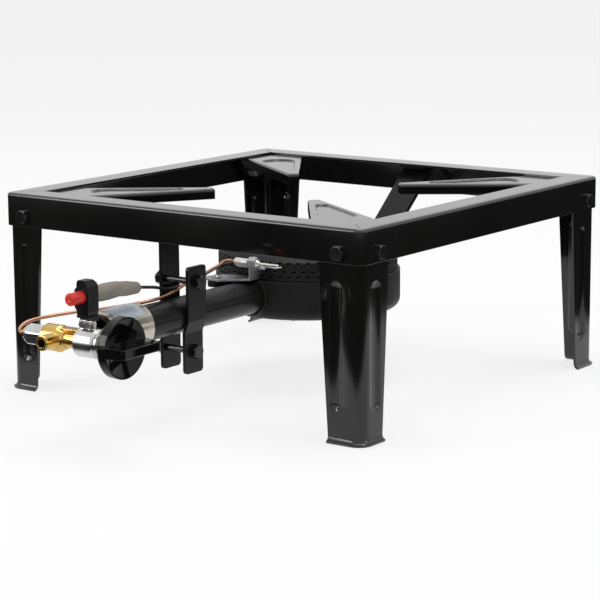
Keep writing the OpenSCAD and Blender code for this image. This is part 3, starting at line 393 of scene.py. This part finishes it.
def makeFinish(name, finish):
    material = bpy.data.materials.new(name)
    material.use_nodes = True
    tree = material.node_tree
    shader = tree.nodes["Principled BSDF"]
    grain = useGroup(tree, grainGroup, Scale=finish["grain"][0], Patch_Scale=finish["grain"][1])
    edges = useGroup(tree, edgeGroup, Radius=finish["edge"][0])
    color = mixColors(tree, grain.outputs["Patches"], *finish["shades"])
    if "dust" in finish:
        dust = useGroup(tree, dustGroup, Amount=finish["dust"])
        dusty = addNode(tree, "ShaderNodeMix", data_type="RGBA")
        dusty.inputs["B"].default_value = (*dustShade, 1.0)
        tree.links.new(dust.outputs["Mask"], dusty.inputs["Factor"])
        tree.links.new(color, dusty.inputs["A"])
        color = dusty.outputs["Result"]
    # Edges take a lighter colour: partly wear, partly a painted highlight
    wearAndSheen = addNode(tree, "ShaderNodeMix", data_type="RGBA")
    wearAndSheen.inputs["B"].default_value = (*finish["edge"][1], 1.0)
    tree.links.new(edges.outputs["Mask"], wearAndSheen.inputs["Factor"])
    tree.links.new(color, wearAndSheen.inputs["A"])
    tree.links.new(wearAndSheen.outputs["Result"], shader.inputs["Base Color"])
    low, high = finish["roughness"]
    roughness = spreadValue(tree, grain.outputs["Patches"], low, high)
    tree.links.new(roughness, shader.inputs["Roughness"])
    strength, height = finish["bump"]
    bump = addNode(tree, "ShaderNodeBump", {"Strength": strength, "Distance": height})
    tree.links.new(grain.outputs["Height"], bump.inputs["Height"])
    tree.links.new(edges.outputs["Normal"], bump.inputs["Normal"])
    tree.links.new(bump.outputs["Normal"], shader.inputs["Normal"])
    shader.inputs["Metallic"].default_value = finish.get("metal", 0.0)
    shader.inputs["Specular IOR Level"].default_value = finish.get("specular", 0.5)
    return material


materials = {name: makeFinish(name, finish) for name, finish in finishes.items()}


def wear(nodeName, material):
    mesh = cadNodes[nodeName].data
    mesh.materials.clear()
    mesh.materials.append(material)


for finishName, nodeNames in wornBy.items():
    for nodeName in nodeNames:
        wear(nodeName, materials[finishName])
print("materials set:", len(materials))


# Shared by every new piece: edges that turn more than this, in degrees, stay crisp
crispAngle = 40


def sharpen(shape):
    bmesh.ops.recalc_face_normals(shape, faces=shape.faces)
    limit = math.radians(crispAngle)
    for face in shape.faces:
        face.smooth = True
    for edge in shape.edges:
        edge.smooth = edge.calc_face_angle(math.pi) < limit


def addPiece(shape, node, turn):
    # Turned about the frame's middle, and put in the place of its CAD node
    name = "enamel_" + node
    spin = Matrix.Rotation(math.radians(turn), 3, "Z")
    bmesh.ops.rotate(shape, verts=shape.verts, cent=(0.0, 0.0, 0.0), matrix=spin)
    mesh = bpy.data.meshes.new(name)
    shape.to_mesh(mesh)
    shape.free()
    mesh.materials.append(materials["blackEnamel"])
    piece = bpy.data.objects.new(name, mesh)
    scene.collection.objects.link(piece)
    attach(piece, "stove")
    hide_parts(node)


# Frame rails: folded angle, rounded at the fold and at the frame's corners
rail = {
    "flange": 0.026,
    "sheet": 0.002,
    "foldRadius": 0.0025,
    "foldSteps": (6, 3),  # outer and inner arc
    "cornerRadius": 0.0085,
    "cornerSlices": 8,
    "mitreGap": 0.0004,
    "overrun": 0.001,  # cut off again at the mitres
    "turns": {"front_rail": 0, "right_rail": 90, "rear_rail": 180, "left_rail": 270},
}
nearZero = 1e-5


def foldArc(radius, center, steps):
    # Points of a quarter circle, from the skirt's face round to the flange
    angles = [math.pi / 2 * i / steps for i in range(steps + 1)]
    depth, z = center
    return [(depth - radius * math.cos(a), z + radius * math.sin(a)) for a in angles]


def makeRail(size, low, high):
    half, bottom, top = -low.y, low.z, high.z
    fold, sheet, corner = size["foldRadius"], size["sheet"], size["cornerRadius"]
    flange, far = size["flange"], half + size["overrun"]
    outer = foldArc(fold, (fold, top - fold), size["foldSteps"][0])
    inner = foldArc(fold - sheet, (fold, top - fold), size["foldSteps"][1])
    section = [(0.0, bottom)] + outer + [(corner, top), (flange, top)]
    section += [(flange, top - sheet), (corner, top - sheet)] + inner[::-1] + [(sheet, bottom)]
    shape = bmesh.new()
    ring = [shape.verts.new((-far, depth - half, z)) for depth, z in section]
    edges = [shape.edges.new((ring[i - 1], ring[i])) for i in range(len(ring))]
    inside, steps = half - corner, size["cornerSlices"]
    zone = [-half + corner * i / steps for i in range(steps + 1)]
    slices = zone + [-inside / 2, 0.0, inside / 2] + [-x for x in zone[::-1]] + [far]
    at = -far
    for x in slices:
        grown = bmesh.ops.extrude_edge_only(shape, edges=edges)["geom"]
        edges = [item for item in grown if isinstance(item, bmesh.types.BMEdge)]
        moved = [item for item in grown if isinstance(item, bmesh.types.BMVert)]
        bmesh.ops.translate(shape, verts=moved, vec=(x - at, 0.0, 0.0))
        at = x
    for side in (-1.0, 1.0):
        bmesh.ops.bisect_plane(
            shape,
            geom=list(shape.verts) + list(shape.edges) + list(shape.faces),
            dist=1e-6,
            plane_co=(0.0, 0.0, 0.0),
            plane_no=(side, 1.0, 0.0),
            clear_outer=True,
        )
    openEdges = [edge for edge in shape.edges if edge.is_boundary]
    bmesh.ops.holes_fill(shape, edges=openEdges, sides=0)
    for vert in shape.verts:
        side = math.copysign(1.0, vert.co.x)
        onMitre = abs(abs(vert.co.x) + vert.co.y) < nearZero
        if onMitre and vert.co.y + half > corner - nearZero:
            vert.co.x -= side * size["mitreGap"]
        # Square corner drawn in to a round one
        out, deep = side * vert.co.x - inside, -vert.co.y - inside
        if out > 0 and deep > 0:
            scale = max(out, deep) / math.hypot(out, deep)
            vert.co.x = side * (inside + out * scale)
            vert.co.y = -(inside + deep * scale)
    sharpen(shape)
    return shape


railLow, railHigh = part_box("front_rail")
railLow, railHigh = Vector(railLow), Vector(railHigh)
for railName, railTurn in rail["turns"].items():
    addPiece(makeRail(rail, railLow, railHigh), railName, railTurn)
print("rails made")


# Legs: folded sheet with a long pressed groove in each flange and a flared foot
leg = {
    "faceAt": 0.198,
    "topWidth": 0.0455,
    "footWidth": 0.0345,
    "narrower": 0.0045,
    "cornerRadius": 0.01,
    "sheet": 0.002,
    "flare": 0.0035,
    "footHeight": 0.0065,
    "height": 0.179,
    "grooveHalf": 0.00625,
    "grooveDeep": 0.002,
    "grooveLow": 0.0345,
    "grooveHigh": 0.132,
    "grooveAt": {"narrow": 0.0205, "wide": 0.026},
    "rows": 190,
    "cornerSteps": 10,
    "grooveSteps": 14,
    "edgeSteps": 3,
    "turns": {
        "leg_front_left": 0,
        "leg_front_right": 90,
        "leg_rear_right": 180,
        "leg_rear_left": 270,
    },
}


def legColumns(size, width, groove):
    # Distances from the folded corner across one flange at one height
    half, steps, edgeSteps = size["grooveHalf"], size["grooveSteps"], size["edgeSteps"]
    across = [groove - half + 2 * half * i / steps for i in range(steps + 1)]
    far = across[-1]
    return across + [far + (width - far) * i / edgeSteps for i in range(1, edgeSteps + 1)]


def grooveDepth(size, along, groove, z):
    # Part of a circle across the groove, and round at its ends
    past = max(0.0, size["grooveLow"] - z, z - size["grooveHigh"])
    off = math.hypot(along - groove, past)
    half, deep = size["grooveHalf"], size["grooveDeep"]
    if off >= half:
        return 0.0
    radius = (half * half + deep * deep) / (2 * deep)
    return math.sqrt(radius * radius - off * off) - (radius - deep)


def legPoint(size, column, z):
    # Front left leg: the narrow flange runs along X, the wide one along Y
    radius, steps = size["cornerRadius"], size["cornerSteps"]
    grows = (size["topWidth"] - size["footWidth"]) / size["height"]
    width = size["footWidth"] + grows * z
    flare = 0.0
    if z < size["footHeight"]:
        low = (size["footHeight"] - z) / (size["footHeight"] - size["sheet"])
        flare = size["flare"] * (1 - math.sqrt(max(0.0, 1 - low * low)))
    face = -size["faceAt"]
    if 0 <= column <= steps:
        angle = math.pi / 2 * column / steps
        reach = radius + flare
        middle = face + radius
        return (middle - reach * math.sin(angle), middle - reach * math.cos(angle))
    if column < 0:
        groove = size["grooveAt"]["narrow"]
        along = legColumns(size, width - size["narrower"], groove)[-column - 1]
        return (face + along, face - flare + grooveDepth(size, along, groove, z))
    groove = size["grooveAt"]["wide"]
    along = legColumns(size, width, groove)[column - steps - 1]
    return (face - flare + grooveDepth(size, along, groove, z), face + along)


def makeLeg(size):
    side = size["grooveSteps"] + 1 + size["edgeSteps"]
    columns = 2 * side + size["cornerSteps"]
    rows, rise = size["rows"], size["height"] - size["sheet"]
    shape = bmesh.new()
    bmesh.ops.create_grid(shape, x_segments=columns, y_segments=rows, size=0.5)
    for vert in shape.verts:
        column = round((vert.co.x + 0.5) * columns) - side
        z = size["sheet"] + rise * round((vert.co.y + 0.5) * rows) / rows
        x, y = legPoint(size, column, z)
        vert.co = (x, y, z)
    shape.normal_update()
    bmesh.ops.solidify(shape, geom=list(shape.faces), thickness=-size["sheet"])
    sharpen(shape)
    return shape


for legName, legTurn in leg["turns"].items():
    addPiece(makeLeg(leg), legName, legTurn)
print("legs made")


# Pot supports: kites of sheet with edges bent down, a pressed pan and a notched tip
support = {
    "top": 0.18195,
    "root": 0.012,
    "rootBlunt": 0.003,  # the point under the frame's corner is cut this far
    "rootHalf": 0.0045,
    "leastFlat": 0.001,
    "shoulder": (0.045, 0.033),
    "shoulderRadius": 0.008,
    "tip": (0.19384, 0.0055),
    "sheet": 0.002,
    "bend": 0.0023,
    "edgeDeep": 0.0093,
    "edgeSpare": 0.0005,
    "edgeGrows": (0.042, 0.056),
    "pan": (0.0948, 0.017, 0.1585, 0.0065),  # place and radius of each round end
    "panDeep": 0.0014,
    "panSlope": 0.0016,
    "notch": 0.0035,
    "rows": 170,
    "columns": 46,
    "foldSteps": (4, 3),  # round the fold and down the edge
    "placed": {  # quarter turn, and how far it leans about the frame's corner
        "pot_support_front_left": (0, 1.5),
        "pot_support_front_right": (90, 2.5),
        "pot_support_rear_right": (180, 0),
        "pot_support_rear_left": (270, 0),
    },
}


def kiteHalfWidth(size, along):
    # Two straight edges, eased into each other at the shoulder
    shoulder, half = size["shoulder"]
    tip, tipHalf = size["tip"]
    rising = (along - size["root"]) * half / (shoulder - size["root"])
    rising = max(size["rootHalf"], rising)
    falling = half - (along - shoulder) * (half - tipHalf) / (tip - shoulder)
    soft = size["shoulderRadius"] / 2
    near = max(soft - abs(rising - falling), 0.0) / soft
    return min(rising, falling) - near * near * soft / 4


def panDepth(size, along, across):
    # A pan between two circles, with sloping sides
    start, wide, end, narrow = size["pan"]
    length = end - start
    slope = (wide - narrow) / length
    lift = math.sqrt(1 - slope * slope)
    x, y = along - start, abs(across)
    if slope * y > lift * x:
        off = math.hypot(x, y) - wide
    elif x * lift - y * slope > lift * length:
        off = math.hypot(x - length, y) - narrow
    else:
        off = x * slope + y * lift - wide
    t = min(1.0, max(0.0, -off / size["panSlope"]))
    return size["panDeep"] * t * t * (3 - 2 * t)


def makeSupport(size, corner, lean):
    foldSteps, dropSteps = size["foldSteps"]
    bent = foldSteps + dropSteps
    columns, rows = size["columns"] + 2 * bent, size["rows"] + bent
    bend = size["bend"]
    fold = bend * math.pi / 2
    shape = bmesh.new()
    bmesh.ops.create_grid(shape, x_segments=columns, y_segments=rows, size=0.5)
    first, last = size["root"] + size["rootBlunt"], size["tip"][0] - bend
    growFrom, growTo = size["edgeGrows"]
    sheet, deepest = size["sheet"], size["edgeDeep"]
    notched = []
    for vert in shape.verts:
        column = round((vert.co.x + 0.5) * columns) - columns / 2
        row = round((vert.co.y + 0.5) * rows)
        along = first + (last - first) * min(row, size["rows"]) / size["rows"]
        grown = min(1.0, max(0.0, (along - growFrom) / (growTo - growFrom)))
        drop = sheet + (deepest - sheet) * grown - bend + size["edgeSpare"]
        # How far this point lies past the flat top, sideways and at the tip
        past = [abs(column) - size["columns"] / 2, row - size["rows"]]
        run = [0.0, 0.0]
        for i, steps in enumerate(past):
            if steps > 0:
                run[i] = fold * min(steps, foldSteps) / foldSteps
                run[i] += drop * max(0, steps - foldSteps) / dropSteps
        flat = max(size["leastFlat"], kiteHalfWidth(size, along) - bend)
        across = flat * max(-1.0, min(1.0, column / (size["columns"] / 2)))
        reach = max(run)
        angle = min(reach, fold) / bend
        out = bend * math.sin(angle)
        down = bend * (1 - math.cos(angle)) + max(0.0, reach - fold)
        down += panDepth(size, along, across)
        spread = math.hypot(*run) or 1.0
        if past[1] > foldSteps and abs(across) < size["notch"]:
            notched.append(vert)
        along += out * run[1] / spread
        across += math.copysign(out * run[0] / spread, column)
        vert.co = (along, across, size["top"] - down)
    gone = [face for face in shape.faces if all(vert in notched for vert in face.verts)]
    bmesh.ops.delete(shape, geom=gone, context="FACES")
    shape.normal_update()
    bmesh.ops.solidify(shape, geom=list(shape.faces), thickness=-size["sheet"])
    turn = Matrix.Rotation(math.radians(45.0 + lean), 3, "Z")
    bmesh.ops.rotate(shape, verts=shape.verts, cent=(0.0, 0.0, 0.0), matrix=turn)
    bmesh.ops.translate(shape, verts=shape.verts, vec=(-corner, -corner, 0.0))
    sharpen(shape)
    return shape


for supportName, (supportTurn, supportLean) in support["placed"].items():
    addPiece(makeSupport(support, railHigh.x, supportLean), supportName, supportTurn)
print("supports made")


# Stage: a pale floor that keeps a faint shadow, a white world and soft lamps
stageLook = {
    "floorSize": 12.0,
    "floorGlow": 1.0,
    "floorShade": 0.85,
    "floorShadow": 0.22,  # how much of the shadow the floor keeps
    "floorDrop": 0.0002,
    # Painted reflection: the floor's glow seen only in glossy rays, with its edge, centre, reach,
    # and strength inside and beyond
    "paintedGlowEdge": (0.92, 1.06),
    "paintedGlowCenter": (0.1, 0.0),
    "paintedGlowReach": (0.55, 0.42),
    "paintedGlowInGloss": 1.0,
    "paintedGlowBeyond": 0.04,
    "worldLight": 0.55,
}
lamps = {
    "frontSoftbox": {
        "place": (-1.9, -2.4, 1.3),
        "aim": (0.0, -0.2, 0.1),
        "size": (1.3, 1.5),
        "watts": 38.0,
    },
    "topSoftbox": {
        "place": (0.1, 0.2, 2.4),
        "aim": (0.0, 0.0, 0.0),
        "size": (1.8, 1.8),
        "watts": 30.0,
    },
    "sideSoftbox": {
        "place": (2.4, 0.6, 1.2),
        "aim": (0.0, 0.0, 0.1),
        "size": (0.7, 1.4),
        "watts": 10.0,
    },
}


def makeFloor(look):
    mesh = bpy.data.meshes.new("floor")
    shape = bmesh.new()
    bmesh.ops.create_grid(shape, x_segments=1, y_segments=1, size=look["floorSize"] / 2)
    bmesh.ops.translate(shape, verts=shape.verts, vec=(0.0, 0.0, -look["floorDrop"]))
    shape.to_mesh(mesh)
    shape.free()
    floor = bpy.data.objects.new("floor", mesh)
    scene.collection.objects.link(floor)
    material = bpy.data.materials.new("floorPaper")
    material.use_nodes = True
    tree = material.node_tree
    tree.nodes.clear()
    output = addNode(tree, "ShaderNodeOutputMaterial")
    path = addNode(tree, "ShaderNodeLightPath")
    diffuse = addNode(tree, "ShaderNodeBsdfDiffuse")
    shade = look["floorShade"]
    diffuse.inputs["Color"].default_value = (shade, shade, shade, 1.0)
    glow = addNode(tree, "ShaderNodeEmission", {"Strength": look["floorGlow"]})
    # Painted reflection: for glossy rays the floor glows as a painted pool of light near the stove,
    # fading to a painted dark past its edge
    where = addNode(tree, "ShaderNodeTexCoord")
    reach = addNode(tree, "ShaderNodeMapping", vector_type="TEXTURE")
    reach.inputs["Location"].default_value = (*look["paintedGlowCenter"], 0.0)
    reach.inputs["Scale"].default_value = (*look["paintedGlowReach"], 1.0)
    away = addNode(tree, "ShaderNodeVectorMath", operation="LENGTH")
    paintedGlowFade = addNode(tree, "ShaderNodeMapRange")
    paintedGlowFade.inputs["From Min"].default_value, paintedGlowFade.inputs["From Max"].default_value = look["paintedGlowEdge"]
    paintedGlowFade.inputs["To Min"].default_value = look["paintedGlowInGloss"]
    paintedGlowFade.inputs["To Max"].default_value = look["paintedGlowBeyond"]
    paintedReflectionGlow = addNode(tree, "ShaderNodeEmission")
    tree.links.new(where.outputs["Object"], reach.inputs["Vector"])
    tree.links.new(reach.outputs["Vector"], away.inputs[0])
    tree.links.new(away.outputs["Value"], paintedGlowFade.inputs["Value"])
    tree.links.new(paintedGlowFade.outputs["Result"], paintedReflectionGlow.inputs["Strength"])
    soft = addNode(tree, "ShaderNodeMixShader", {"Fac": look["floorShadow"]})
    pick = addNode(tree, "ShaderNodeMixShader")
    gloss = addNode(tree, "ShaderNodeMixShader")
    tree.links.new(glow.outputs[0], soft.inputs[1])
    tree.links.new(diffuse.outputs[0], soft.inputs[2])
    tree.links.new(path.outputs["Is Glossy Ray"], gloss.inputs[0])
    tree.links.new(diffuse.outputs[0], gloss.inputs[1])
    tree.links.new(paintedReflectionGlow.outputs[0], gloss.inputs[2])
    tree.links.new(path.outputs["Is Camera Ray"], pick.inputs[0])
    tree.links.new(gloss.outputs[0], pick.inputs[1])
    tree.links.new(soft.outputs[0], pick.inputs[2])
    tree.links.new(pick.outputs[0], output.inputs["Surface"])
    mesh.materials.append(material)


def makeWorld(look):
    world = bpy.data.worlds.new("studio")
    scene.world = world
    world.use_nodes = True
    tree = world.node_tree
    tree.nodes.clear()
    output = addNode(tree, "ShaderNodeOutputWorld")
    path = addNode(tree, "ShaderNodeLightPath")
    seen = addNode(tree, "ShaderNodeMath", operation="MAXIMUM")
    through = addNode(tree, "ShaderNodeMath", operation="MAXIMUM")
    light = addNode(tree, "ShaderNodeBackground", {"Strength": look["worldLight"]})
    white = addNode(tree, "ShaderNodeBackground", {"Strength": 1.0})
    for background in (light, white):
        background.inputs["Color"].default_value = (1.0, 1.0, 1.0, 1.0)
    pick = addNode(tree, "ShaderNodeMixShader")
    tree.links.new(path.outputs["Is Camera Ray"], seen.inputs[0])
    tree.links.new(path.outputs["Is Glossy Ray"], seen.inputs[1])
    tree.links.new(seen.outputs[0], through.inputs[0])
    tree.links.new(path.outputs["Is Transmission Ray"], through.inputs[1])
    tree.links.new(through.outputs[0], pick.inputs[0])
    tree.links.new(light.outputs[0], pick.inputs[1])
    tree.links.new(white.outputs[0], pick.inputs[2])
    tree.links.new(pick.outputs[0], output.inputs["Surface"])


def makeLamp(name, lamp):
    data = bpy.data.lights.new(name, "AREA")
    data.shape = "RECTANGLE"
    data.size, data.size_y = lamp["size"]
    data.energy = lamp["watts"]
    light = bpy.data.objects.new(name, data)
    away = Vector(lamp["place"]) - Vector(lamp["aim"])
    light.rotation_euler = away.to_track_quat("Z", "Y").to_euler()
    light.location = lamp["place"]
    scene.collection.objects.link(light)


makeFloor(stageLook)
makeWorld(stageLook)
for lampName, lamp in lamps.items():
    makeLamp(lampName, lamp)
print("stage set")
